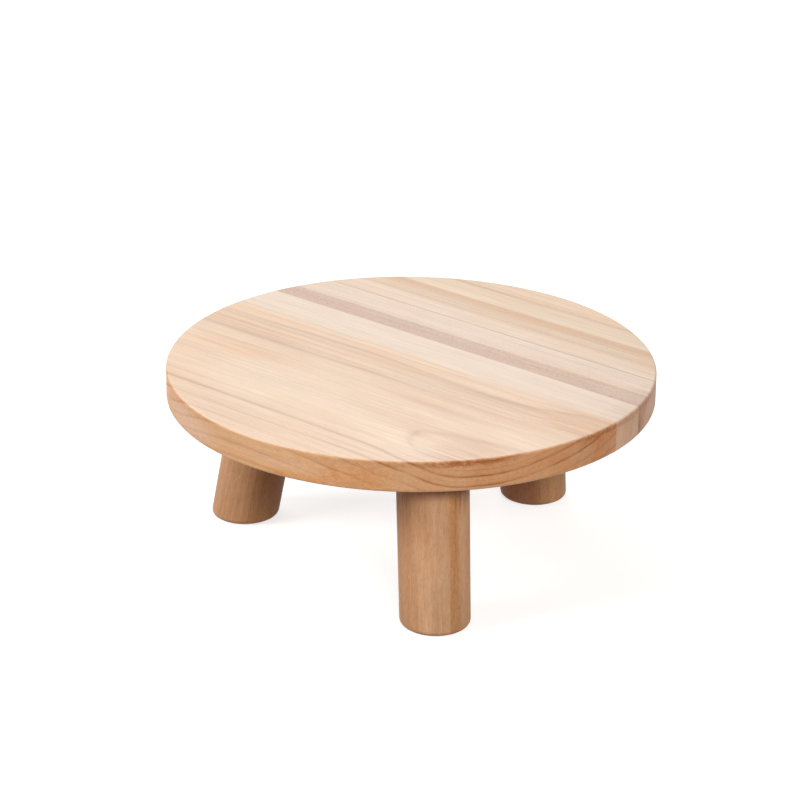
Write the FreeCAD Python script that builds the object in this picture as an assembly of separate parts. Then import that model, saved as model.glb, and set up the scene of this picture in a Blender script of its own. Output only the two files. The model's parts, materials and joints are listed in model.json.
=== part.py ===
import FreeCAD, Part
import math
import os
from FreeCAD import Vector

# A round low table: a top of edge-glued boards on three stout turned legs that lean outward.
# Each leg turns on a vertical hanger bolt, whose upper end screws into an insert in the underside.
# Millimetres. +Z is up, and the origin is on the floor below the middle of the top.

# The whole table
table_height = 202.5
top_diameter = 500.0
top_thickness = 32.5
top_arris_radius = 2.0
under_arris_radius = 3.0

# A rounded edge is worked in this many flats
corner_flats = 4

# The boards: their grain runs along grain_azimuth, and each seam is a share of the top's radius
# away from the middle, counted across the grain from the front left to the back right
grain_azimuth = -39.5
seam_radius_shares = (0.055, 0.245, 0.497)

# The legs: their bolts are evenly spaced on one circle, bolt_inset from the rim, and each leg leans
# the way it was last turned, which is close to straight outward
bolt_inset = 93.5
front_bolt_azimuth = -82.0
front_lean_azimuth = -80.0
right_lean_azimuth = 70.0
left_lean_azimuth = 165.0
foot_offset = 31.0
leg_top_diameter = 73.0
leg_foot_diameter = 71.0
foot_arris_radius = 5.0
leg_top_chamfer = 1.0

# The felt pad in each foot
pad_diameter = 56.0
pad_thickness = 3.0
pad_recess_depth = 2.0

# The rubber ring between each leg and the underside
ring_outer_diameter = 60.0
ring_inner_diameter = 30.0
ring_thickness = 1.5
ring_recess_depth = 1.2
ring_clearance = 0.3

# The hanger bolt: a machine thread above the leg, a short plain neck and a wood thread in the leg
thread_diameter = 10.0
thread_clearance = 0.08
bolt_reach = 20.0
bolt_end_chamfer = 1.0
neck_diameter = 8.8
neck_length = 5.0
wood_thread_diameter = 9.6
wood_thread_length = 34.0
bolt_point_length = 7.0
bolt_point_radius = 1.6
pilot_end_clearance = 3.0

# The threaded insert: a flanged bush with a hexagon for the driver in its mouth
insert_diameter = 16.0
insert_length = 22.0
insert_lead_in = 1.2
flange_diameter = 23.0
flange_thickness = 1.6
flange_set_back = 0.2
drive_across_flats = 12.0
drive_depth = 6.0
pocket_end_clearance = 1.5

# How far a cutting tool runs past the face that it cuts
cut_overrun = 5.0

top_radius = top_diameter / 2
bolt_circle_radius = top_radius - bolt_inset
lean_azimuths = {"front": front_lean_azimuth, "right": right_lean_azimuth, "left": left_lean_azimuth}
underside = table_height - top_thickness
leg_top = underside - (ring_thickness - ring_recess_depth)
leg_bottom = pad_thickness - pad_recess_depth
ring_bottom = leg_top - ring_recess_depth
bolt_radius = thread_diameter / 2 - thread_clearance
insert_mouth = underside + flange_set_back
insert_top = insert_mouth + insert_length
neck_low = ring_bottom - neck_length
thread_low = neck_low - wood_thread_length


def at_angle(radius, degrees, height=0.0):
    angle = math.radians(degrees)
    return Vector(radius * math.cos(angle), radius * math.sin(angle), height)


def bolt_places():
    # the name of each leg with the place of its bolt, in plan
    step = 360.0 / len(lean_azimuths)
    return {name: at_angle(bolt_circle_radius, front_bolt_azimuth + i * step)
            for i, name in enumerate(lean_azimuths)}


def disc(place, radius, low, high):
    return Part.makeCylinder(radius, high - low, Vector(place.x, place.y, low))


def corner_steps(radius):
    # a quarter round: how far each of its points lies in from the side, and how far from the end
    angles = [math.radians(90 * i / corner_flats) for i in range(corner_flats + 1)]
    return [(radius * (1 - math.sin(angle)), radius * (1 - math.cos(angle))) for angle in angles]


def turned(outline, place):
    # the solid that an outline, from the axis and back to it, sweeps round the vertical at this place
    points = [Vector(radius, 0, height) for radius, height in outline + outline[:1]]
    solid = Part.Face(Part.makePolygon(points)).revolve(Vector(), Vector(0, 0, 1), 360)
    solid.translate(Vector(place.x, place.y, 0))
    return solid


def top_blank():
    outline = [(0, underside)]
    outline += [(top_radius - inset, underside + rise) for inset, rise in corner_steps(under_arris_radius)]
    upper = [(top_radius - inset, table_height - drop) for inset, drop in corner_steps(top_arris_radius)]
    outline += upper[::-1]
    outline.append((0, table_height))
    return turned(outline, Vector())


def insert_pocket(place):
    # a bore for the insert's body and a wider seat for its flange
    seat_end = insert_mouth + flange_thickness
    body = disc(place, insert_diameter / 2, underside - cut_overrun, insert_top + pocket_end_clearance)
    seat = disc(place, flange_diameter / 2, underside - cut_overrun, seat_end)
    return body.fuse(seat)


def top_boards():
    # the round blank, sawn along the grain at each seam
    edge = top_radius + cut_overrun
    seams = [-edge] + [share * top_radius for share in seam_radius_shares] + [edge]
    blank = top_blank()
    for place in bolt_places().values():
        blank = blank.cut(insert_pocket(place))
    boards = {}
    for number, (near, far) in enumerate(zip(seams, seams[1:]), start=1):
        low = underside - cut_overrun
        high = table_height + cut_overrun
        slab = Part.makeBox(2 * edge, far - near, high - low, Vector(-edge, near, low))
        slab.rotate(Vector(), Vector(0, 0, 1), grain_azimuth)
        boards[f"top_board_{number}"] = blank.common(slab)
    return boards


def leg(place, lean_azimuth):
    # a round leg on a leaning axis, with both ends cut level
    foot_step = at_angle(foot_offset, lean_azimuth)
    taper = (leg_top_diameter - leg_foot_diameter) / 2 / underside
    outline = [(inset, leg_bottom + rise) for inset, rise in corner_steps(foot_arris_radius)]
    outline += [(0, leg_top - leg_top_chamfer), (leg_top_chamfer, leg_top)]
    sections = []
    for inset, height in outline:
        centre = place + foot_step * (1 - height / underside) + Vector(0, 0, height)
        radius = leg_foot_diameter / 2 + taper * height - inset
        sections.append(Part.Wire(Part.makeCircle(radius, centre)))
    ruled = True
    solid = Part.makeLoft(sections, True, ruled)
    ring_seat = disc(place, ring_outer_diameter / 2 + ring_clearance, ring_bottom, leg_top + cut_overrun)
    pad_seat = disc(place + foot_step, pad_diameter / 2, leg_bottom - cut_overrun, pad_thickness)
    return solid.cut(ring_seat).cut(pad_seat).cut(pilot_hole(place))


def pilot_hole(place):
    low = thread_low - bolt_point_length - pilot_end_clearance
    return disc(place, wood_thread_diameter / 2, low, ring_bottom + cut_overrun)


def hanger_bolt(place):
    tip = underside + bolt_reach
    outline = [
        (0, thread_low - bolt_point_length),
        (bolt_point_radius, thread_low - bolt_point_length),
        (wood_thread_diameter / 2, thread_low),
        (wood_thread_diameter / 2, neck_low),
        (neck_diameter / 2, neck_low),
        (neck_diameter / 2, ring_bottom),
        (bolt_radius, ring_bottom),
        (bolt_radius, tip - bolt_end_chamfer),
        (bolt_radius - bolt_end_chamfer, tip),
        (0, tip),
    ]
    return turned(outline, place)


def threaded_insert(place):
    flange_top = insert_mouth + flange_thickness
    outline = [
        (0, insert_mouth),
        (flange_diameter / 2, insert_mouth),
        (flange_diameter / 2, flange_top),
        (insert_diameter / 2, flange_top),
        (insert_diameter / 2, insert_top - insert_lead_in),
        (insert_diameter / 2 - insert_lead_in, insert_top),
        (0, insert_top),
    ]
    bush = turned(outline, place)
    bore = disc(place, thread_diameter / 2, insert_mouth - cut_overrun, insert_top + cut_overrun)
    return bush.cut(bore).cut(drive_hexagon(place))


def drive_hexagon(place):
    sides = 6
    corner_radius = drive_across_flats / 2 / math.cos(math.pi / sides)
    low = insert_mouth - cut_overrun
    corners = [at_angle(corner_radius, 360 / sides * i, low) + place for i in range(sides + 1)]
    face = Part.Face(Part.makePolygon(corners))
    return face.extrude(Vector(0, 0, cut_overrun + drive_depth))


def grip_ring(place):
    outer = disc(place, ring_outer_diameter / 2, ring_bottom, underside)
    hole = disc(place, ring_inner_diameter / 2, ring_bottom - cut_overrun, underside + cut_overrun)
    return outer.cut(hole)


def felt_pad(place, lean_azimuth):
    foot = place + at_angle(foot_offset, lean_azimuth)
    return disc(foot, pad_diameter / 2, 0, pad_thickness)


def all_pieces():
    pieces = top_boards()
    for name, place in bolt_places().items():
        pieces[f"leg_{name}"] = leg(place, lean_azimuths[name])
        pieces[f"hanger_bolt_{name}"] = hanger_bolt(place)
        pieces[f"threaded_insert_{name}"] = threaded_insert(place)
        pieces[f"grip_ring_{name}"] = grip_ring(place)
        pieces[f"felt_pad_{name}"] = felt_pad(place, lean_azimuths[name])
    return pieces


os.makedirs("parts", exist_ok=True)
for node, shape in all_pieces().items():
    shape.exportStep(f"parts/{node}.step")
    box = shape.BoundBox
    print(node, f"{shape.Volume / 1000:.1f} cm3", f"z {box.ZMin:.1f} to {box.ZMax:.1f}",
          "valid" if shape.isValid() else "NOT VALID", len(shape.Solids), "solid")
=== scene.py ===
import json
import math

import bmesh
import bpy
from mathutils import Matrix, Vector, noise


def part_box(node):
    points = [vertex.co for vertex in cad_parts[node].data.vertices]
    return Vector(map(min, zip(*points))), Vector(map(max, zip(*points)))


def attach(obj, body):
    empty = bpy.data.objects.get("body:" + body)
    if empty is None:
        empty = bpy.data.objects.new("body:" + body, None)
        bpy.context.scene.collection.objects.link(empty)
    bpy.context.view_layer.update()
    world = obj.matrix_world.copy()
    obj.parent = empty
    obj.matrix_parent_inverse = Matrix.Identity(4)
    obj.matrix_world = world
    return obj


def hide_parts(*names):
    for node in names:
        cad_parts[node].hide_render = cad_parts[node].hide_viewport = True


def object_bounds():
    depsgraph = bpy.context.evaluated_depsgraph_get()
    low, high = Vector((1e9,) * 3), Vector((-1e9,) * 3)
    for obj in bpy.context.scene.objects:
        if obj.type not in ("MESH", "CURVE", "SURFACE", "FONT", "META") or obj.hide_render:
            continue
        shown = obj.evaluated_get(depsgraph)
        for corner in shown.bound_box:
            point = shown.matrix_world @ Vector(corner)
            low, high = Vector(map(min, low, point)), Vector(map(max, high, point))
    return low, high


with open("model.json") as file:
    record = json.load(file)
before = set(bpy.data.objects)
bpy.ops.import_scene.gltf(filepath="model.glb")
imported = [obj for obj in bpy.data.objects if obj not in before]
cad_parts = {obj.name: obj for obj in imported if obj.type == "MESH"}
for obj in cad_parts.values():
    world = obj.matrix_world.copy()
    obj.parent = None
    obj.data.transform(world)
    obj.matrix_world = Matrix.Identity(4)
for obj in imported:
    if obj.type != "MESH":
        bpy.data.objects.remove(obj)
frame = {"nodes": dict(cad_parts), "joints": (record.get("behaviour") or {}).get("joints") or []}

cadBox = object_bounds()
nodes = frame["nodes"]
legNames = ("front", "right", "left")
boardNames = sorted(name for name in nodes if name.startswith("top_board_"))
mm = 0.001
print("frame loaded:", len(nodes), "CAD nodes")

# where things are, read from the frame
tableTop = cadBox[1].z
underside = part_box("grip_ring_front")[1].z
hinges = [joint for joint in frame["joints"] if joint["type"] == "hinge"]
boltPlace = {hinge["name"].split("_")[1]: Vector(hinge["pos_m"]) for hinge in hinges}


def boxMiddle(node):
    low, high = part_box(node)
    return (low + high) / 2


# small tools for materials

noiseMiddle = 0.5                          # what a noise texture gives on average
noiseLow, noiseHigh = 0.3, 0.7             # nearly all its values lie between these

def linear(hexColour):
    parts = [int(hexColour[i:i + 2], 16) / 255 for i in (1, 3, 5)]
    return tuple(p / 12.92 if p <= 0.04045 else ((p + 0.055) / 1.055) ** 2.4 for p in parts) + (1.0,)


def addNode(tree, kind, inputs=None, stops=None, **settings):
    # One node with its settings, links and ramp stops. Sockets go by name or by number: 6 and 7 are the
    # colours of a Mix node, 1 and 2 are where a Map Range starts from, and 3 and 4 are what it leads to.
    node = tree.nodes.new(kind)
    for key, value in settings.items():
        setattr(node, key, value)
    for key, value in (inputs or {}).items():
        if isinstance(value, bpy.types.NodeSocket):
            tree.links.new(value, node.inputs[key])
        else:
            node.inputs[key].default_value = value
    if stops:
        elements = node.color_ramp.elements
        while len(elements) < len(stops):
            elements.new(1.0)
        for element, (position, colour) in zip(elements, stops):
            element.position = position
            element.color = linear(colour) if isinstance(colour, str) else (colour, colour, colour, 1.0)
    return node


def newMaterial(name):
    material = bpy.data.materials.new(name)
    material.use_nodes = True
    tree = material.node_tree
    tree.nodes.clear()
    return material, tree


def finishMaterial(tree, surface):
    addNode(tree, "ShaderNodeOutputMaterial", {"Surface": surface})


def dress(piece, material):
    piece.data.materials.clear()
    piece.data.materials.append(material)


# Wood

# the same for every piece of it
woodCommon = {
    # patterns: mm across the grain, mm along it, detail, roughness
    "wobble": (14, 130, 1.0, 0.5), "fade": (22, 150, 1.0, 0.5), "patch": (34, 150, 3.0, 0.6),
    "streak": (3.2, 150, 2.0, 0.55),
    "pore": (0.7, 4, 1.0, 0.5),            # 0.2 mm across on the tree, drawn coarser so that pores show
    # rings: what differs from an even, round, upright trunk
    "ringShift": 0.0, "fastSide": 1.0, "slowSide": 1.0, "fastCurve": 0.0, "wideYear": None, "swells": [],
    "years": [], "falseRing": 0.05, "stainsAndShade": [],
    "glueLine": "#8a5d3e", "glueFromMm": 0.15, "glueToMm": 1.0,
    "heartPores": 3.0,                     # how many times more of them dark heartwood shows
    "grainPress": 0.3, "porePress": 3.0,   # how much fibres and pores show in the lacquer's surface
    "mattRoughness": 0.25, "mattCoat": 0.1, "smoother": 0.05, "rougher": 0.06,
}


def woodNoises(tree, local, look):
    # the patterns that run along the grain, each shifted to its own place in the noise
    seed = look["seed"]
    shifts = {
        "wander": (seed, seed * 1.7, 0.0), "wobble": (seed, 0.0, 3.0), "fade": (0.0, 5.0, seed),
        "patch": (0.0, seed, 1.0), "streak": (seed, 9.0, 0.0), "fibre": (0.0, 0.0, 0.0),
        "pore": (7.0, 3.0, 0.0),
    }
    noises = {}
    for name, shift in shifts.items():
        acrossMm, alongMm, detail, roughness = look[name]
        noiseAt = addNode(tree, "ShaderNodeMapping", {
            "Vector": local, "Location": shift, "Scale": (1 / acrossMm, 1 / acrossMm, 1 / alongMm)})
        noises[name] = addNode(tree, "ShaderNodeTexNoise", {
            "Vector": noiseAt.outputs[0], "Scale": 1.0, "Detail": detail, "Roughness": roughness}).outputs[0]
    return noises


def growthRings(tree, local, place, noises, look):
    # distance from the pith in mm: on one side of it the tree grew wider rings
    offPith = addNode(tree, "ShaderNodeMath", {0: place.outputs[0], 1: look["pithMm"][0]},
                      operation="SUBTRACT").outputs[0]
    slowSide = addNode(tree, "ShaderNodeMath", {0: offPith, 1: 0.0}, operation="MINIMUM").outputs[0]
    slowSide = addNode(tree, "ShaderNodeMath", {0: slowSide, 1: look["slowSide"]},
                       operation="MULTIPLY").outputs[0]
    fastSide = addNode(tree, "ShaderNodeMath", {0: offPith, 1: 0.0}, operation="MAXIMUM").outputs[0]
    fastPull = addNode(tree, "ShaderNodeMath", {0: fastSide, 1: -look["fastCurve"], 2: look["fastSide"]},
                       operation="MULTIPLY_ADD").outputs[0]
    sideways = addNode(tree, "ShaderNodeMath", {0: fastSide, 1: fastPull, 2: slowSide},
                       operation="MULTIPLY_ADD").outputs[0]
    above = addNode(tree, "ShaderNodeMath", {0: place.outputs[1], 1: look["pithMm"][1]},
                    operation="SUBTRACT").outputs[0]
    fromPith = addNode(tree, "ShaderNodeCombineXYZ", {0: sideways, 1: above}).outputs[0]
    distance = addNode(tree, "ShaderNodeVectorMath", {0: fromPith}, operation="LENGTH").outputs["Value"]

    # what pushes the rings and the colour bands about, each with its amount in mm
    ringPushes = [(place.outputs[2], look["taper"]), (noises["wander"], look["wanderMm"]),
                  (noises["wobble"], look["wobbleMm"]), (-noiseMiddle, look["wanderMm"] + look["wobbleMm"])]
    bandPushes = [(noises["wander"], look["streakWanderMm"]), (place.outputs[1], look["bandLean"])]
    # a swell in the trunk bends the rings beside it into a wave or a cathedral's tip
    for acrossMm, alongMm, wideMm, longMm, ringsMm, bandsMm in look["swells"]:
        swellAt = addNode(tree, "ShaderNodeMapping", {
            "Vector": local, "Location": (-acrossMm / wideMm, 0.0, -alongMm / longMm),
            "Scale": (1 / wideMm, 0.0, 1 / longMm)})
        swell = addNode(tree, "ShaderNodeTexGradient", {0: swellAt.outputs[0]}, gradient_type="SPHERICAL")
        swell = addNode(tree, "ShaderNodeMapRange", {0: swell.outputs[1]}, interpolation_type="SMOOTHSTEP")
        ringPushes.append((swell.outputs[0], ringsMm))
        bandPushes.append((swell.outputs[0], bandsMm))
    for value, amount in ringPushes:
        distance = addNode(tree, "ShaderNodeMath", {0: value, 1: amount, 2: distance},
                           operation="MULTIPLY_ADD").outputs[0]
    if look["wideYear"]:
        # one year grew wider than the rest
        fromMm, toMm, extraMm = look["wideYear"]
        extra = addNode(tree, "ShaderNodeMapRange", {0: distance, 1: fromMm, 2: toMm, 3: extraMm, 4: 0.0},
                        interpolation_type="SMOOTHSTEP").outputs[0]
        distance = addNode(tree, "ShaderNodeMath", {0: distance, 1: extra}, operation="ADD").outputs[0]
    rings = addNode(tree, "ShaderNodeMath", {0: distance, 1: look["ringMm"]}, operation="DIVIDE").outputs[0]
    rings = addNode(tree, "ShaderNodeMath", {0: rings, 1: look["ringShift"]}, operation="ADD").outputs[0]
    return rings, bandPushes


def lateWoodLines(tree, rings, fade, matt, look):
    # pale early wood, a faint false ring where a dry summer checked it, and then a narrow late-wood line
    phase = addNode(tree, "ShaderNodeMath", {0: rings}, operation="FRACT").outputs[0]
    lateWood = addNode(tree, "ShaderNodeValToRGB", {0: phase},
                       stops=[(0.0, 0.42), (0.06, 0.1), (0.16, 0.0), (0.36, 0.04), (0.43, look["falseRing"]),
                              (0.48, 0.04), (0.7, 0.15), (0.82, 0.4), (0.905, 0.85), (0.95, 1.0),
                              (1.0, 0.42)]).outputs[0]
    # no two years are equally dark
    year = addNode(tree, "ShaderNodeMath", {0: rings}, operation="FLOOR").outputs[0]
    if look["years"]:
        # the strong years are listed: (from year, strength) for each change
        lastYear = look["years"][-1][0] + 1
        yearShare = addNode(tree, "ShaderNodeMath", {0: year, 1: lastYear}, operation="DIVIDE").outputs[0]
        chosen = addNode(tree, "ShaderNodeValToRGB", {0: yearShare},
                         stops=[((number - 0.5) / lastYear, strength) for number, strength in look["years"]])
        chosen.color_ramp.interpolation = "CONSTANT"
        strength = chosen.outputs[0]
    else:
        yearMark = addNode(tree, "ShaderNodeTexWhiteNoise", {"W": year}, noise_dimensions="1D").outputs[0]
        strength = addNode(tree, "ShaderNodeMapRange", {0: yearMark, 3: look["ringLow"],
                                                        4: look["ringHigh"]}).outputs[0]
    # a line fades in and out along the board
    faded = addNode(tree, "ShaderNodeMapRange", {0: fade, 1: noiseLow, 2: 0.65, 3: 0.35, 4: 1.15}).outputs[0]
    shares = [strength, faded]
    if look["sideShare"]:
        # fainter on a planed and polished face than on the turned edge
        shares.append(addNode(tree, "ShaderNodeMapRange", {0: matt, 3: look["faceLine"], 4: 1.0}).outputs[0])
    for share in shares:
        lateWood = addNode(tree, "ShaderNodeMath", {0: lateWood, 1: share}, operation="MULTIPLY").outputs[0]
    return addNode(tree, "ShaderNodeMath", {0: lateWood, 1: 1.0}, operation="MINIMUM").outputs[0]


def woodColour(tree, local, place, noises, bandPushes, lateLines, look):
    # colour of the board from side to side: sapwood, heartwood and mineral streaks, and across the back legs
    # painted light and shade
    shift = place.outputs[0]
    for value, amount in bandPushes:
        shift = addNode(tree, "ShaderNodeMath", {0: value, 1: amount, 2: shift},
                        operation="MULTIPLY_ADD").outputs[0]
    wanderedMm = look["streakWanderMm"] * noiseMiddle
    side = addNode(tree, "ShaderNodeMapRange", {0: shift, 1: look["fromMm"] + wanderedMm,
                                                2: look["toMm"] + wanderedMm}).outputs[0]
    bands = addNode(tree, "ShaderNodeValToRGB", {0: side}, stops=look["bands"]).outputs[0]
    # broad soft patches where the board is warmer
    patchAmount = addNode(tree, "ShaderNodeMapRange", {0: noises["patch"], 1: 0.42, 2: 0.72,
                                                       4: look["patchShare"]}).outputs[0]
    colour = addNode(tree, "ShaderNodeMix", {0: patchAmount, 6: bands, 7: linear(look["warm"])},
                     data_type="RGBA").outputs[2]
    # stains, and on the legs painted shadow and shade, broken up by the streaks: (middle, reach, share,
    # colour)
    broken = addNode(tree, "ShaderNodeMapRange", {0: noises["streak"], 1: 0.38, 2: 0.6, 3: 0.5,
                                                  4: 1.25}).outputs[0]
    for middle, reach, share, stainShadeColour in look["stainsAndShade"]:
        stainShadeAt = addNode(tree, "ShaderNodeMapping", {
            "Vector": local, "Location": [-m / r for m, r in zip(middle, reach)],
            "Scale": [1 / r for r in reach]})
        amount = addNode(tree, "ShaderNodeTexGradient", {0: stainShadeAt.outputs[0]}, gradient_type="SPHERICAL")
        amount = addNode(tree, "ShaderNodeMapRange", {0: amount.outputs[1], 2: 0.8, 4: share},
                         interpolation_type="SMOOTHSTEP")
        amount = addNode(tree, "ShaderNodeMath", {0: amount.outputs[0], 1: broken}, operation="MULTIPLY",
                         use_clamp=True)
        colour = addNode(tree, "ShaderNodeMix", {0: amount.outputs[0], 6: colour, 7: linear(stainShadeColour)},
                         data_type="RGBA").outputs[2]
    colour = addNode(tree, "ShaderNodeMix", {0: lateLines, 6: colour, 7: linear(look["late"])},
                     data_type="RGBA").outputs[2]
    return colour, bands


def woodMaterial(name, look, grain, across, origin):
    # Taken as chinaberry, a fast-grown hardwood with wide rings, planed or turned and sprayed with clear
    # satin lacquer. Each piece is sawn from its own log: growth rings lie round a pith line, so flat faces
    # show long lines and a cathedral, and sawn ends show arcs.
    material, tree = newMaterial(name)
    thick = grain.cross(across)
    turn = Matrix((across, thick, grain)).transposed().to_euler()
    coords = addNode(tree, "ShaderNodeTexCoord")
    # local millimetres: X across the grain, Y through the thickness, Z along the grain
    local = addNode(tree, "ShaderNodeMapping", {
        "Vector": coords.outputs["Object"], "Location": origin, "Rotation": turn, "Scale": (mm, mm, mm),
    }, vector_type="TEXTURE").outputs[0]
    place = addNode(tree, "ShaderNodeSeparateXYZ", {0: local})

    # how far each face turns from the board's own face, and from its sawn end
    alongGrain = addNode(tree, "ShaderNodeVectorMath", {0: coords.outputs["Normal"], 1: grain},
                         operation="DOT_PRODUCT").outputs["Value"]
    endShare = addNode(tree, "ShaderNodeMath", {0: alongGrain, 1: alongGrain},
                       operation="MULTIPLY").outputs[0]
    matt = unpolished = endShare
    if look["sideShare"]:
        throughBoard = addNode(tree, "ShaderNodeVectorMath", {0: coords.outputs["Normal"], 1: thick},
                               operation="DOT_PRODUCT").outputs["Value"]
        faceShare = addNode(tree, "ShaderNodeMath", {0: throughBoard, 1: throughBoard},
                            operation="MULTIPLY").outputs[0]
        matt = addNode(tree, "ShaderNodeMath", {0: 1.0, 1: faceShare}, operation="SUBTRACT").outputs[0]
        # the underside is sealed but not polished
        below = addNode(tree, "ShaderNodeMapRange", {0: throughBoard, 1: -0.9, 2: -0.4, 3: 1.0,
                                                     4: 0.0}).outputs[0]
        unpolished = addNode(tree, "ShaderNodeMath", {0: matt, 1: below}, operation="MAXIMUM").outputs[0]

    noises = woodNoises(tree, local, look)
    rings, bandPushes = growthRings(tree, local, place, noises, look)
    lateLines = lateWoodLines(tree, rings, noises["fade"], matt, look)
    colour, bands = woodColour(tree, local, place, noises, bandPushes, lateLines, look)

    # fibres, streaks a few millimetres wide, and open pores, of which dark heartwood shows more
    fibreTone = addNode(tree, "ShaderNodeMapRange", {0: noises["fibre"], 1: noiseLow, 2: noiseHigh,
                                                     3: 1 - look["fibreShare"],
                                                     4: 1 + look["fibreShare"]}).outputs[0]
    streakTone = addNode(tree, "ShaderNodeMapRange", {0: noises["streak"], 1: 0.35, 2: noiseHigh,
                                                      3: 1 + look["streakShare"] / 3,
                                                      4: 1 - look["streakShare"]}).outputs[0]
    poreMark = addNode(tree, "ShaderNodeMapRange", {0: noises["pore"], 1: 0.56, 2: 0.68}).outputs[0]
    bandGreen = addNode(tree, "ShaderNodeSeparateColor", {0: bands}).outputs[1]
    darkLevel, paleLevel = look["poreLevels"]
    poreStrength = addNode(tree, "ShaderNodeMapRange", {0: bandGreen, 1: darkLevel, 2: paleLevel,
                                                        3: look["poreShare"] * look["heartPores"],
                                                        4: look["poreShare"]}).outputs[0]
    poreAmount = addNode(tree, "ShaderNodeMath", {0: poreMark, 1: poreStrength},
                         operation="MULTIPLY").outputs[0]
    poreTone = addNode(tree, "ShaderNodeMath", {0: 1.0, 1: poreAmount}, operation="SUBTRACT").outputs[0]
    tone = addNode(tree, "ShaderNodeMath", {0: fibreTone, 1: poreTone}, operation="MULTIPLY").outputs[0]
    tone = addNode(tree, "ShaderNodeMath", {0: tone, 1: streakTone}, operation="MULTIPLY").outputs[0]
    if look["sideShare"]:
        # the arrises are drawn a shade paler, partly their sanding and partly a painted highlight along the
        # rounded edge: face times side is a quarter at most, on the arris
        arris = addNode(tree, "ShaderNodeMath", {0: matt, 1: faceShare}, operation="MULTIPLY").outputs[0]
        arrisHighlight = addNode(tree, "ShaderNodeMath", {0: arris, 1: look["arrisShare"] * 4, 2: 1.0},
                         operation="MULTIPLY_ADD").outputs[0]
        tone = addNode(tree, "ShaderNodeMath", {0: tone, 1: arrisHighlight}, operation="MULTIPLY").outputs[0]
    colour = addNode(tree, "ShaderNodeVectorMath", {0: colour, 3: tone}, operation="SCALE").outputs[0]

    # sawn ends and the sides of a board drink more lacquer, so they are deeper, more orange and less glossy
    soaked = [(endShare, look["endShare"], look["endTint"])]
    if look["sideShare"]:
        soaked.insert(0, (matt, look["sideShare"], look["sideTint"]))
    for turned, share, tint in soaked:
        amount = addNode(tree, "ShaderNodeMath", {0: turned, 1: share}, operation="MULTIPLY").outputs[0]
        colour = addNode(tree, "ShaderNodeMix", {0: amount, 6: colour, 7: linear(tint)},
                         data_type="RGBA", blend_type="MULTIPLY").outputs[2]

    # glue lines: 0.1 mm on the real top, drawn 1 mm wide where two boards meet
    for seamMm, darkness in look["seams"]:
        gap = addNode(tree, "ShaderNodeMath", {0: place.outputs[0], 1: seamMm},
                      operation="SUBTRACT").outputs[0]
        gap = addNode(tree, "ShaderNodeMath", {0: gap}, operation="ABSOLUTE").outputs[0]
        seamAmount = addNode(tree, "ShaderNodeMapRange", {0: gap, 1: look["glueFromMm"], 2: look["glueToMm"],
                                                          3: darkness, 4: 0.0}).outputs[0]
        colour = addNode(tree, "ShaderNodeMix", {0: seamAmount, 6: colour, 7: linear(look["glueLine"])},
                         data_type="RGBA").outputs[2]

    # the grain shows a little through the lacquer, which is thinner on ends, sides and below
    height = addNode(tree, "ShaderNodeMath", {0: poreAmount, 1: -look["porePress"], 2: noises["fibre"]},
                     operation="MULTIPLY_ADD").outputs[0]
    bump = addNode(tree, "ShaderNodeBump", {"Strength": look["grainPress"], "Distance": look["bumpMm"] * mm,
                                            "Height": height}).outputs[0]
    gloss = addNode(tree, "ShaderNodeMapRange", {0: noises["patch"], 1: noiseLow, 2: noiseHigh,
                                                 3: look["roughness"] - look["smoother"],
                                                 4: look["roughness"] + look["rougher"]}).outputs[0]
    gloss = addNode(tree, "ShaderNodeMath", {0: unpolished, 1: look["mattRoughness"], 2: gloss},
                    operation="MULTIPLY_ADD").outputs[0]
    coat = addNode(tree, "ShaderNodeMapRange", {0: unpolished, 3: look["coat"],
                                                4: look["coat"] * look["mattCoat"]}).outputs[0]
    surface = addNode(tree, "ShaderNodeBsdfPrincipled", {
        "Base Color": colour, "Roughness": gloss, "IOR": 1.5, "Coat Weight": coat,
        "Coat Roughness": look["coatRoughness"], "Normal": bump})
    finishMaterial(tree, surface.outputs[0])
    return material


# The top: four boards, each from its own log

grainTurn = math.radians(-39.5)            # the way the grain runs, in plan
grainWay = Vector((math.cos(grainTurn), math.sin(grainTurn), 0))
acrossWay = Vector((-grainWay.y, grainWay.x, 0))

boardCommon = {
    **woodCommon,
    "wander": (70, 380, 2.0, 0.45),
    "fibre": (1.5, 60, 3.0, 0.6),          # 0.02 mm across on the tree, drawn coarser so that fibres show
    "wanderMm": 5, "wobbleMm": 2.2, "taper": 0.004, "ringLow": 0.05, "ringHigh": 0.5,
    "streakWanderMm": 3, "bandLean": -0.5, "faceLine": 0.6, "arrisShare": 0.07,
    "warm": "#dba877", "late": "#a66a32", "fibreShare": 0.075, "streakShare": 0.09, "patchShare": 0.35,
    "poreShare": 0.08, "poreLevels": (0.42, 0.60),
    "endShare": 0.75, "endTint": "#f5d7ba", "sideShare": 1.0, "sideTint": "#f7ebdf",
    "roughness": 0.34, "coat": 0.55, "coatRoughness": 0.17, "bumpMm": 0.08,
}
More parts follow.
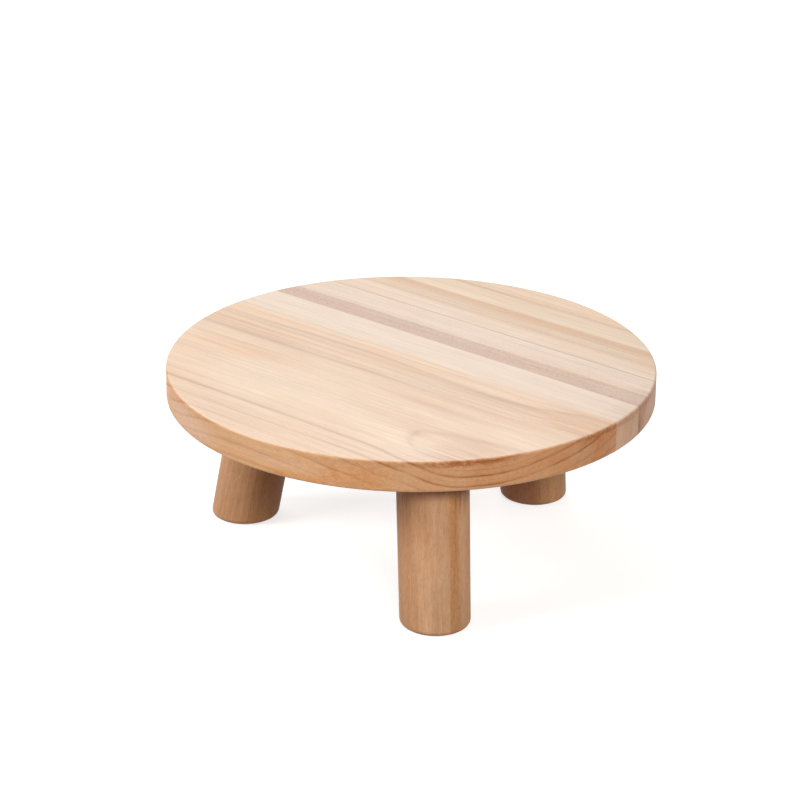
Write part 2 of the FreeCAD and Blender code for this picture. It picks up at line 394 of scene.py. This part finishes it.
# pithMm: where the pith is, across the grain and up from the middle of the top
# years: from which year, counted from the pith, the late-wood line has this strength
# swells: middle across and along the grain, size across and along it, and what they add to the rings and to
#     the bands, all in mm
# stainsAndShade: stains here, each with middle and reach, both across, up and along in mm, then share and
# colour
# bands: shares of the board's width with their colours
# seamDark: how dark the glue line is along each edge
boardLooks = {
    # wide, flat sawn, with the pith above its face: sagging arcs on the rim, a cathedral's tip near the front
    "top_board_1": {
        "seed": 1.3, "pithMm": (-125, 107), "ringMm": 10.3, "ringShift": 0.82,
        "wanderMm": 2.5, "wobbleMm": 1.8,
        "fastSide": 0.79, "fastCurve": 0.0017, "slowSide": 0.82, "taper": -0.003, "wideYear": (89, 102, 4.5),
        "years": [(0, 0.15), (9, 0.75), (10, 0.9), (11, 0.9), (12, 0.5), (13, 0.4), (14, 0.3)],
        "falseRing": 0.36,
        "swells": [(-174, 235, 106, 150, -6.2, -24.8), (-18, 232, 75, 85, -3.2, -12.8),
                   (-10, 110, 80, 150, 2.3, 0), (-156, 155, 44, 62, -6.8, 0)],
        "stainsAndShade": [((-88, 16, -165), (22, 60, 80), 0.5, "#dba877"),
                   ((-35, 16, -190), (20, 60, 110), 0.5, "#dba877"),
                   ((-12, 16, 235), (38, 60, 130), 0.6, "#d9a675"),
                   ((-24, 16, 140), (18, 60, 120), 0.4, "#d09c70"),
                   ((-90, 16, 120), (75, 60, 150), 0.3, "#d7a880"),
                   ((-75, 16, 95), (13, 60, 60), 0.4, "#dba877"),
                   ((-222, -2, 115), (40, 20, 60), 0.45, "#d99c5f"),
                   ((-228, -2, -100), (50, 20, 90), 0.9, "#efd8ca"),
                   ((-215, 13, 115), (110, 5, 150), 0.5, "#d1ad8e"),
                   ((-240, -2, 30), (40, 8, 70), 0.35, "#eed6c6"),
                   ((-238, -12, 60), (45, 6, 70), 0.6, "#d99c5f"),
                   ((-120, 16, -195), (60, 60, 80), 0.35, "#dcb186"),
                   ((-135, 16, 178), (60, 30, 60), 0.35, "#d8ab80"),
                   ((-135, 16, -50), (60, 40, 110), 0.4, "#ecd5bd"),
                   ((-155, 13, 195), (70, 6, 70), 0.85, "#b37d4e"),
                   ((-10, 13, 245), (48, 4, 40), 0.8, "#ad7f5a"),
                   ((2, -2, 248), (14, 14, 30), 0.5, "#d9c0ac"),
                   ((-36, 0, 247), (26, 12, 30), 0.6, "#e3cfbe")],
        "bands": [(0.0, "#e1bf9d"), (0.13, "#e0bd9a"), (0.26, "#e7c8a8"), (0.55, "#e8c9aa"),
                  (0.74, "#e6c6a6"), (0.765, "#dbb895"), (0.785, "#e7c7a7"), (0.806, "#dfbc9a"),
                  (0.82, "#e7c7a7"), (0.838, "#e4c19e"), (0.848, "#d9b491"), (0.862, "#e6c6a6"),
                  (0.91, "#eac8a6"), (0.927, "#e1bc98"), (0.945, "#ebcaa8"), (1.0, "#ebcaa8")],
        "seamDark": (0.0, 0.30)},
    # narrow and quarter sawn: straight lines
    "top_board_2": {
        "seed": 4.1, "pithMm": (-210, 70), "ringMm": 5.2, "patchShare": 0.15,
        "bands": [(0.0, "#ead2bb"), (0.5, "#ecd5c0"), (1.0, "#ead1ba")],
        "stainsAndShade": [((38, 13, 245), (60, 6, 40), 0.4, "#b08264"),
                   ((22, -3, 248), (9, 20, 30), 0.6, "#f6e4d2"),
                   ((52, -3, 244), (8, 14, 30), 0.4, "#f4e2d4")],
        "endTint": "#fceee4", "sideTint": "#fcf3ec", "seamDark": (0.05, 0.30)},
    # heartwood along its front edge
    "top_board_3": {
        "seed": 7.7, "pithMm": (300, -80), "ringMm": 5.6, "patchShare": 0.15, "streakWanderMm": 6,
        "poreShare": 0.15,
        "bands": [(0.0, "#cea78d"), (0.08, "#cca488"), (0.17, "#d3ae95"), (0.25, "#cea68b"),
                  (0.31, "#e2c6ad"), (0.45, "#eacfb8"), (0.75, "#ead0b9"), (1.0, "#ebd2bb")],
        "stainsAndShade": [((75, 16, 215), (16, 60, 60), 0.35, "#e4c9b3"),
                   ((72, 16, 95), (14, 60, 80), 0.35, "#c99f80"),
                   ((90, 13, 232), (70, 6, 40), 0.4, "#a87c62"),
                   ((64, -3, 240), (6, 20, 40), 0.6, "#a17a62")],
        "endTint": "#ffeee4", "sideTint": "#fdf1e8", "seamDark": (0.25, 0.7)},
    # an orange streak where sapwood turns to heartwood
    "top_board_4": {
        "seed": 2.9, "pithMm": (-80, 230), "ringMm": 8.5, "ringHigh": 0.40,
        "bands": [(0.0, "#ebd0b8"), (0.13, "#eacfb5"), (0.175, "#d9b391"), (0.22, "#e5c9aa"),
                  (0.28, "#debb94"), (0.34, "#d8ac80"), (0.39, "#d7a77c"), (0.44, "#ecd0b0"),
                  (0.64, "#e6c8a8"), (0.68, "#d9b493"), (0.72, "#eccaa8"), (1.0, "#edcaa7")],
        "seamDark": (0.7, 0.0)},
}


def dressTop():
    middle = Vector((0, 0, (tableTop + underside) / 2))
    for board in boardNames:
        reach = [acrossWay.dot(vertex.co) / mm for vertex in nodes[board].data.vertices]
        edges = (min(reach), max(reach))
        look = {**boardCommon, **boardLooks[board], "fromMm": edges[0], "toMm": edges[1]}
        look["seams"] = [(edge, dark) for edge, dark in zip(edges, look["seamDark"]) if dark]
        dress(nodes[board], woodMaterial("lacquered_hardwood_" + board, look, grainWay, acrossWay, middle))
    print("top dressed:", len(boardNames), "boards")


# The legs: turned from darker billets of the same wood, with a thinner coat; across the back legs the colour
# also holds painted shade and light

legCommon = {
    **woodCommon,
    "wander": (45, 150, 2.0, 0.45),
    "fibre": (1.5, 12, 3.0, 0.6),
    "ringMm": 6.5, "wanderMm": 6, "wobbleMm": 1.2, "taper": 0.01, "ringLow": 0.03, "ringHigh": 0.28,
    "fromMm": -37, "toMm": 37, "streakWanderMm": 7, "bandLean": 0.0,
    "warm": "#b98257", "late": "#8f5c37", "fibreShare": 0.11, "streakShare": 0.06, "patchShare": 0.4,
    "poreShare": 0.13, "poreLevels": (0.2, 0.4),
    "endShare": 0.6, "endTint": "#c99f7c", "sideShare": 0.0, "seams": [],
    "roughness": 0.6, "coat": 0.04, "coatRoughness": 0.4, "bumpMm": 0.12,
}
legLooks = {
    "front": {"seed": 3.3, "pithMm": (18, 60),
              "bands": [(0.0, "#c0916c"), (0.3, "#cea37f"), (0.5, "#dcb493"), (0.66, "#d7ae8b"),
                        (0.75, "#c89467"), (0.81, "#c59061"), (0.87, "#daab84"), (1.0, "#d7a67f")],
              # the first mark, dark high on the right of the front, is painted shadow from the top's overhang
              "stainsAndShade": [((28, -22, 134), (15, 20, 26), 0.6, "#9c6a44"),
                         ((-27, -22, 120), (10, 20, 60), 0.4, "#b07c55"),
                         ((-8, -36, 110), (10, 12, 40), 0.3, "#b98459"),
                         # darker towards the foot: painted shade near the floor
                         ((0, -30, 0), (60, 80, 75), 0.4, "#b08560")]},
    "right": {"seed": 8.4, "pithMm": (-70, 25),
              # the colour across this leg is painted shade and light: deep and red on its shaded left side
              # and middle, pale on its lit right side
              "bands": [(0.0, "#b4683c"), (0.35, "#a8734c"), (0.5, "#aa744e"), (0.7, "#cf9b70"),
                        (1.0, "#e2ab7b")]},
    "left": {"seed": 6.2, "pithMm": (45, -50),
             # across this leg the colour deepens and turns more orange towards its shaded right side: painted
             # shade
             "bands": [(0.0, "#cf9f78"), (0.4, "#d8a67c"), (0.75, "#d09a6c"), (1.0, "#cf9062")],
             # darker towards the foot: painted shade near the floor
             "stainsAndShade": [((0, -10, 8), (80, 60, 55), 0.35, "#a87850")]},
}


def legAxis(name):
    foot = boxMiddle("felt_pad_" + name)
    foot.z = 0.0
    head = boltPlace[name].copy()
    head.z = underside
    return foot, (head - foot).normalized()


def dressLegs():
    for name in legNames:
        foot, axis = legAxis(name)
        across = (Vector((1, 0, 0)) - axis * axis.x).normalized()
        look = {**legCommon, **legLooks[name]}
        dress(nodes["leg_" + name], woodMaterial("lacquered_billet_" + name, look, axis, across, foot))
    print("legs dressed:", ", ".join(legNames))


# The hanger bolts: rolled machine thread above the leg, coarse wood thread in it, both real helices

boltLook = {
    # the outline is the same as in CAD: heights above the point and radii, in mm
    "pointTop": 7, "woodTop": 41, "neckTop": 46, "boltTop": 67.5,
    "pointRadius": 1.6, "woodRadius": 4.8, "neckRadius": 4.4, "machineRadius": 4.92, "endRadius": 3.92,
    "neckChamfer": 0.3,
    "machinePitch": 1.5, "machineCore": 4.02, "woodPitch": 3.5, "woodCore": 3.3, "pointsAround": 28,
    # one thread: how far up its pitch and how far out to its crest each point of the profile lies
    "profile": [(0.0, 0.0), (0.2, 0.0), (0.52, 1.0), (0.68, 1.0)],
    # in pitches: where the first turn starts, what the turns leave free, and where the crest dies away
    "startPitches": 0.1, "sparePitches": 1.15, "runOutPitches": 0.3,
    "zinc": "#c9cdd1", "dull": "#a9aeb3", "cloudMm": 3.846, "markMm": (1.111, 1.111, 0.192),
}


def boltOutline(rise):
    # outer radius of the bolt at a height above its point
    look = boltLook
    if rise < look["pointTop"]:
        taper = (look["woodRadius"] - look["pointRadius"]) / look["pointTop"]
        return look["pointRadius"] + taper * rise
    if rise < look["woodTop"]:
        return look["woodRadius"]
    if rise < look["neckTop"]:
        return look["neckRadius"]
    return min(look["machineRadius"], look["endRadius"] + look["boltTop"] - rise)


def addPoint(bm, centre, radius, angle, height):
    return bm.verts.new((centre.x + radius * math.cos(angle) * mm, centre.y + radius * math.sin(angle) * mm,
                         height * mm))


def addRing(bm, centre, radius, height, count):
    turn = 2 * math.pi / count
    return [addPoint(bm, centre, radius, turn * i, height) for i in range(count)]


def addThread(bm, centre, low, high, pitch, core, outer):
    # A closed shell between two heights. The rows of the thread's profile climb by one pitch in each turn, so
    # that the end of a turn joins the start of the next.
    count = boltLook["pointsAround"]
    profile = boltLook["profile"]
    runOut = boltLook["runOutPitches"]
    rows = len(profile)
    start = low + boltLook["startPitches"] * pitch
    turns = int((high - low) / pitch - boltLook["sparePitches"])
    last = turns * rows

    def point(row, column):
        share, crest = profile[row % rows]
        height = start + pitch * (row // rows + share + column / count)
        fade = max(0.0, min(1.0, (height - low) / pitch - runOut, (high - height) / pitch - runOut))
        limit = outer(height)
        inner = min(core, limit)
        radius = inner + (limit - inner) * crest * fade
        return addPoint(bm, centre, radius, 2 * math.pi * column / count, height)

    grid = [[point(row, column) for column in range(count)] for row in range(last + 1)]
    climb = [grid[row][0] for row in range(last + 1)]
    climb += [point(row, 0) for row in range(last + 1, last + rows + 1)]

    def corner(row, column):
        return grid[row][column] if column < count else climb[row + rows]

    for row in range(last):
        for column in range(count):
            bm.faces.new((corner(row, column), corner(row, column + 1), corner(row + 1, column + 1),
                          corner(row + 1, column)))
    bottom = addRing(bm, centre, min(core, outer(low)), low, count)
    top = addRing(bm, centre, min(core, outer(high)), high, count)
    for column in range(count - 1):
        bm.faces.new((bottom[column], bottom[column + 1], grid[0][column + 1], grid[0][column]))
    bm.faces.new([bottom[-1], bottom[0]] + climb[:rows + 1] + [grid[0][-1]])
    for column in range(1, count):
        bm.faces.new((corner(last, column), corner(last, column + 1), top[(column + 1) % count], top[column]))
    bm.faces.new([grid[last][1], top[1], top[0]] + climb[:last - 1:-1])
    bm.faces.new(bottom[::-1])
    bm.faces.new(top)


def addTurned(bm, centre, outline, count):
    # a closed turned solid: (radius, height) from its lower end to its upper end
    rings = [addRing(bm, centre, radius, height, count) for radius, height in outline]
    for lower, upper in zip(rings, rings[1:]):
        for i in range(count):
            bm.faces.new((lower[i], lower[(i + 1) % count], upper[(i + 1) % count], upper[i]))
    bm.faces.new(rings[0][::-1])
    bm.faces.new(rings[-1])
    return rings


def meshPiece(name, bm, body, material, smoothDegrees=40):
    mesh = bpy.data.meshes.new(name)
    bm.normal_update()
    bm.to_mesh(mesh)
    bm.free()
    piece = bpy.data.objects.new(name, mesh)
    bpy.context.scene.collection.objects.link(piece)
    mesh.shade_smooth()
    mesh.set_sharp_from_angle(angle=math.radians(smoothDegrees))
    dress(piece, material)
    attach(piece, body)
    return piece


def zincPlate():
    # Rolled steel, bright zinc plated: a cool mirror-like skin, gone duller and faintly cloudy in the shop
    material, tree = newMaterial("zinc_plated_steel")
    place = addNode(tree, "ShaderNodeTexCoord").outputs["Object"]
    clouds = addNode(tree, "ShaderNodeTexNoise", {"Vector": place, "Scale": 1 / (boltLook["cloudMm"] * mm),
                                                  "Detail": 3.0}).outputs[0]
    # the rolling marks run round the bolt
    marksAt = addNode(tree, "ShaderNodeMapping", {
        "Vector": place, "Scale": [1 / (size * mm) for size in boltLook["markMm"]]})
    marks = addNode(tree, "ShaderNodeTexNoise", {"Vector": marksAt.outputs[0], "Scale": 1.0,
                                                 "Detail": 2.0}).outputs[0]
    colour = addNode(tree, "ShaderNodeValToRGB", {0: clouds},
                     stops=[(0.35, boltLook["dull"]), (0.6, boltLook["zinc"])])
    rough = addNode(tree, "ShaderNodeMapRange", {0: clouds, 1: noiseLow, 2: noiseHigh, 3: 0.38,
                                                 4: 0.24}).outputs[0]
    bump = addNode(tree, "ShaderNodeBump", {"Strength": 0.25, "Distance": 0.02 * mm,
                                            "Height": marks}).outputs[0]
    surface = addNode(tree, "ShaderNodeBsdfPrincipled", {
        "Base Color": colour.outputs[0], "Metallic": 1.0, "Roughness": rough, "Normal": bump})
    finishMaterial(tree, surface.outputs[0])
    return material


def makeBolts():
    look = boltLook
    material = zincPlate()
    for name in legNames:
        low, high = (corner.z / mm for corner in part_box("hanger_bolt_" + name))
        centre = boltPlace[name]
        woodTop, neckTop = low + look["woodTop"], low + look["neckTop"]
        wide, chamfer = look["neckRadius"], look["neckChamfer"]
        neck = [(wide - chamfer, woodTop), (wide, woodTop + chamfer),
                (wide, neckTop - chamfer), (wide - chamfer, neckTop)]

        def outer(height):
            return boltOutline(height - low)

        bm = bmesh.new()
        addThread(bm, centre, low, woodTop, look["woodPitch"], look["woodCore"], outer)
        addTurned(bm, centre, neck, look["pointsAround"])
        addThread(bm, centre, neckTop, high, look["machinePitch"], look["machineCore"], outer)
        bolt = meshPiece("bolt_with_threads_" + name, bm, "leg_" + name, material)
        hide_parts("hanger_bolt_" + name)
    print("bolts made:", len(legNames))


# The felt pads: die-cut pressed felt with a soft, slightly fuzzy edge

padLook = {
    "pointsAround": 120, "innerRings": (0.2, 0.4, 0.6, 0.8), "edgeSteps": 5,
    "edgeMm": 0.9, "upperEdgeMm": 0.3, "fuzzMm": 0.12, "fuzzPerMetre": 700, "seed": 5,
    "light": "#8a7561", "dark": "#57473a", "fleck": "#b3a08c", "mattedMm": 0.667, "fleckMm": 1.613,
}


def pressedFelt():
    # Needled wool-mix felt, pressed and die cut: matted fibres and lighter flecks, with no shine at all. The
    # fibres lie a few tenths of a millimetre apart, and are drawn coarser so that they show.
    material, tree = newMaterial("pressed_felt")
    place = addNode(tree, "ShaderNodeTexCoord").outputs["Object"]
    matted = addNode(tree, "ShaderNodeTexNoise", {
        "Vector": place, "Scale": 1 / (padLook["mattedMm"] * mm), "Detail": 4.0, "Roughness": 0.7,
        "Distortion": 1.5}).outputs[0]
    fleck = addNode(tree, "ShaderNodeTexVoronoi", {"Vector": place, "Scale": 1 / (padLook["fleckMm"] * mm)})
    fleckMark = addNode(tree, "ShaderNodeMapRange", {0: fleck.outputs[0], 1: 0.10, 2: 0.22, 3: 0.7,
                                                     4: 0.0}).outputs[0]
    colour = addNode(tree, "ShaderNodeValToRGB", {0: matted},
                     stops=[(0.35, padLook["dark"]), (0.68, padLook["light"])])
    colour = addNode(tree, "ShaderNodeMix", {0: fleckMark, 6: colour.outputs[0], 7: linear(padLook["fleck"])},
                     data_type="RGBA").outputs[2]
    bump = addNode(tree, "ShaderNodeBump", {"Strength": 0.8, "Distance": 0.25 * mm,
                                            "Height": matted}).outputs[0]
    surface = addNode(tree, "ShaderNodeBsdfPrincipled", {
        "Base Color": colour, "Roughness": 0.95, "IOR": 1.5, "Sheen Weight": 0.35, "Sheen Roughness": 0.5,
        "Normal": bump})
    finishMaterial(tree, surface.outputs[0])
    return material


def makePads():
    look = padLook
    material = pressedFelt()
    edge, upperEdge, edgeSteps = look["edgeMm"], look["upperEdgeMm"], look["edgeSteps"]
    bends = [math.radians(90 * i / edgeSteps) for i in range(edgeSteps + 1)]
    for name in legNames:
        low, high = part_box("felt_pad_" + name)
        centre = (low + high) / 2
        radius, thick = (high.x - low.x) / 2 / mm, (high.z - low.z) / mm
        outline = [(share * (radius - edge), 0.0) for share in look["innerRings"]]
        outline += [(radius - edge + edge * math.sin(bend), edge - edge * math.cos(bend)) for bend in bends]
        outline += [(radius, thick - upperEdge), (radius - upperEdge, thick)]
        bm = bmesh.new()
        rings = addTurned(bm, centre, outline, look["pointsAround"])
        for ring in rings[len(look["innerRings"]) + 1:-1]:
            for vert in ring:
                # fibres stand in and out at the edge, never past the pad's own size
                push = noise.noise(vert.co * look["fuzzPerMetre"] + Vector((look["seed"], 0, 0))) * 0.5 + 0.5
                away = Vector((vert.co.x - centre.x, vert.co.y - centre.y, 0)).normalized()
                vert.co -= away * push * look["fuzzMm"] * mm
        pad = meshPiece("pad_of_felt_" + name, bm, "leg_" + name, material)
        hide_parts("felt_pad_" + name)
    print("pads made:", len(legNames))


# Threaded inserts and grip rings keep their CAD shape

insertLook = {"dark": "#8f9296", "light": "#b4b6b9", "peelMm": 1.111, "flowMm": 6.25}
ringLook = {"rubber": "#1d1d1e", "talc": "#3b3a39", "grainMm": 0.556, "talcMm": 8.333}


def castZinc():
    # Zinc die casting: dull grey with fine orange peel and darker flow marks
    material, tree = newMaterial("zinc_die_casting")
    place = addNode(tree, "ShaderNodeTexCoord").outputs["Object"]
    peel = addNode(tree, "ShaderNodeTexNoise", {"Vector": place, "Scale": 1 / (insertLook["peelMm"] * mm),
                                                "Detail": 3.0}).outputs[0]
    flow = addNode(tree, "ShaderNodeTexNoise", {"Vector": place, "Scale": 1 / (insertLook["flowMm"] * mm),
                                                "Detail": 2.0, "Distortion": 2.0}).outputs[0]
    colour = addNode(tree, "ShaderNodeValToRGB", {0: flow},
                     stops=[(0.35, insertLook["dark"]), (0.62, insertLook["light"])]).outputs[0]
    rough = addNode(tree, "ShaderNodeMapRange", {0: peel, 1: noiseLow, 2: noiseHigh, 3: 0.42,
                                                 4: 0.58}).outputs[0]
    bump = addNode(tree, "ShaderNodeBump", {"Strength": 0.4, "Distance": 0.04 * mm,
                                            "Height": peel}).outputs[0]
    surface = addNode(tree, "ShaderNodeBsdfPrincipled", {
        "Base Color": colour, "Metallic": 1.0, "Roughness": rough, "Normal": bump})
    finishMaterial(tree, surface.outputs[0])
    return material


def gripRubber():
    # Die-cut sheet rubber: near black, matt, with talc left in its fine calender grain
    material, tree = newMaterial("black_sheet_rubber")
    place = addNode(tree, "ShaderNodeTexCoord").outputs["Object"]
    grain = addNode(tree, "ShaderNodeTexNoise", {"Vector": place, "Scale": 1 / (ringLook["grainMm"] * mm),
                                                 "Detail": 2.0}).outputs[0]
    talc = addNode(tree, "ShaderNodeTexNoise", {"Vector": place, "Scale": 1 / (ringLook["talcMm"] * mm),
                                                "Detail": 4.0, "Roughness": 0.65}).outputs[0]
    colour = addNode(tree, "ShaderNodeValToRGB", {0: talc},
                     stops=[(0.45, ringLook["rubber"]), (0.75, ringLook["talc"])]).outputs[0]
    rough = addNode(tree, "ShaderNodeMapRange", {0: talc, 1: 0.4, 2: 0.75, 3: 0.62, 4: 0.85}).outputs[0]
    bump = addNode(tree, "ShaderNodeBump", {"Strength": 0.5, "Distance": 0.05 * mm,
                                            "Height": grain}).outputs[0]
    surface = addNode(tree, "ShaderNodeBsdfPrincipled", {
        "Base Color": colour, "Roughness": rough, "IOR": 1.52, "Normal": bump})
    finishMaterial(tree, surface.outputs[0])
    return material


def dressHardware():
    zinc, rubber = castZinc(), gripRubber()
    for name in legNames:
        dress(nodes["threaded_insert_" + name], zinc)
        dress(nodes["grip_ring_" + name], rubber)
    print("inserts and grip rings dressed:", 2 * len(legNames))


dressTop()
dressLegs()
dressHardware()
makeBolts()
makePads()


# The stage

stageLook = {
    "floorSize": 24.0,
    "floorGap": 0.0001,            # metres, and keeps the felt and the floor from flickering
    "floorColour": "#d2d1d0",
    "bounceColour": "#6e5038",     # what the floor gives back to the table
    "cameraGlow": 0.70,            # with the floor's own light this is white, and less in the shadow
    "glowFrom": 0.8, "glowTo": 2.0,          # metres from the middle, where the glow grows to 1
    "white": "#ffffff", "worldLight": 0.13,
}


def lookRays(tree):
    # camera, mirror and see-through rays: the ones that show the background
    rays = addNode(tree, "ShaderNodeLightPath")
    seen = rays.outputs["Is Camera Ray"]
    for kind in ("Is Glossy Ray", "Is Transmission Ray"):
        seen = addNode(tree, "ShaderNodeMath", {0: seen, 1: rays.outputs[kind]},
                       operation="MAXIMUM").outputs[0]
    return seen


def makeFloor():
    mesh = bpy.data.meshes.new("floor")
    half = stageLook["floorSize"] / 2
    corners = [(x * half, y * half, -stageLook["floorGap"]) for x, y in ((-1, -1), (1, -1), (1, 1), (-1, 1))]
    mesh.from_pydata(corners, [], [(0, 1, 2, 3)])
    floor = bpy.data.objects.new("floor", mesh)
    bpy.context.scene.collection.objects.link(floor)
    material, tree = newMaterial("matt_white_floor")
    bounce = addNode(tree, "ShaderNodeBsdfDiffuse", {"Color": linear(stageLook["bounceColour"])})
    matt = addNode(tree, "ShaderNodeBsdfDiffuse", {"Color": linear(stageLook["floorColour"])})
    place = addNode(tree, "ShaderNodeTexCoord").outputs["Object"]
    away = addNode(tree, "ShaderNodeVectorMath", {0: place}, operation="LENGTH").outputs["Value"]
    strength = addNode(tree, "ShaderNodeMapRange", {0: away, 1: stageLook["glowFrom"], 2: stageLook["glowTo"],
                                                    3: stageLook["cameraGlow"], 4: 1.0}).outputs[0]
    glow = addNode(tree, "ShaderNodeEmission", {"Color": linear(stageLook["white"]), "Strength": strength})
    shown = addNode(tree, "ShaderNodeAddShader", {0: matt.outputs[0], 1: glow.outputs[0]})
    mix = addNode(tree, "ShaderNodeMixShader", {0: lookRays(tree), 1: bounce.outputs[0], 2: shown.outputs[0]})
    # one sided, so that the table can be looked at from below
    below = addNode(tree, "ShaderNodeNewGeometry").outputs["Backfacing"]
    clear = addNode(tree, "ShaderNodeBsdfTransparent")
    oneSided = addNode(tree, "ShaderNodeMixShader", {0: below, 1: mix.outputs[0], 2: clear.outputs[0]})
    finishMaterial(tree, oneSided.outputs[0])
    dress(floor, material)
    print("floor made")


def makeWorld():
    world = bpy.data.worlds.new("studio")
    bpy.context.scene.world = world
    world.use_nodes = True
    tree = world.node_tree
    tree.nodes.clear()
    level = addNode(tree, "ShaderNodeMapRange", {0: lookRays(tree), 3: stageLook["worldLight"],
                                                 4: 1.0}).outputs[0]
    sky = addNode(tree, "ShaderNodeBackground", {"Color": linear(stageLook["white"]), "Strength": level})
    addNode(tree, "ShaderNodeOutputWorld", {"Surface": sky.outputs[0]})
    print("world made")


lamps = {
    "backWindow": {"at": (-0.6, 1.6, 1.9), "size": (2.2, 1.4), "watts": 26, "colour": "#ffffff",
                   "mirrored": True},
    # the fills aren't mirrored, so that they leave no white patch in the lacquer
    "leftFill": {"at": (-2.3, -0.7, 1.35), "size": (1.4, 0.7), "watts": 47, "colour": "#fffaf4",
                 "mirrored": False},
    "frontFill": {"at": (0.85, -2.75, 1.72), "size": (2.0, 0.5), "watts": 69, "colour": "#fffaf2",
                  "mirrored": False},
}


def makeLamps():
    aim = Vector((0, 0, tableTop))
    for name, look in lamps.items():
        light = bpy.data.lights.new(name, "AREA")
        light.shape = "RECTANGLE"
        light.size, light.size_y = look["size"]
        light.energy = look["watts"]
        light.color = linear(look["colour"])[:3]
        lamp = bpy.data.objects.new(name, light)
        lamp.location = look["at"]
        lamp.visible_glossy = look["mirrored"]
        lamp.rotation_euler = (aim - lamp.location).to_track_quat("-Z", "Y").to_euler()
        bpy.context.scene.collection.objects.link(lamp)
    print("lamps made:", ", ".join(lamps))


cameraLook = {
    "lensMm": 141.54, "sensorMm": 36.0,
    "inFront": 2.9739, "height": 1.4164,             # metres from the table's axis and above the floor
    "yaw": 0.2146, "pitch": -22.893, "roll": -0.738,          # degrees
    "seesTo": 50,
}


def makeCamera():
    data = bpy.data.cameras.new("camera")
    data.lens = cameraLook["lensMm"]
    data.sensor_width = cameraLook["sensorMm"]
    data.clip_end = cameraLook["seesTo"]
    camera = bpy.data.objects.new("camera", data)
    yaw, pitch, roll = (math.radians(cameraLook[key]) for key in ("yaw", "pitch", "roll"))
    ahead = Vector((-math.sin(yaw) * math.cos(pitch), math.cos(yaw) * math.cos(pitch), math.sin(pitch)))
    level = Vector((math.cos(yaw), math.sin(yaw), 0))
    upright = level.cross(ahead)
    right = level * math.cos(roll) - upright * math.sin(roll)
    up = level * math.sin(roll) + upright * math.cos(roll)
    stand = Matrix.Translation((0, -cameraLook["inFront"], cameraLook["height"]))
    camera.matrix_world = stand @ Matrix((right, up, -ahead)).transposed().to_4x4()
    bpy.context.scene.collection.objects.link(camera)
    bpy.context.scene.camera = camera
    print("camera made")


makeFloor()
makeWorld()
makeLamps()
makeCamera()
bpy.context.scene.view_settings.view_transform = "Standard"
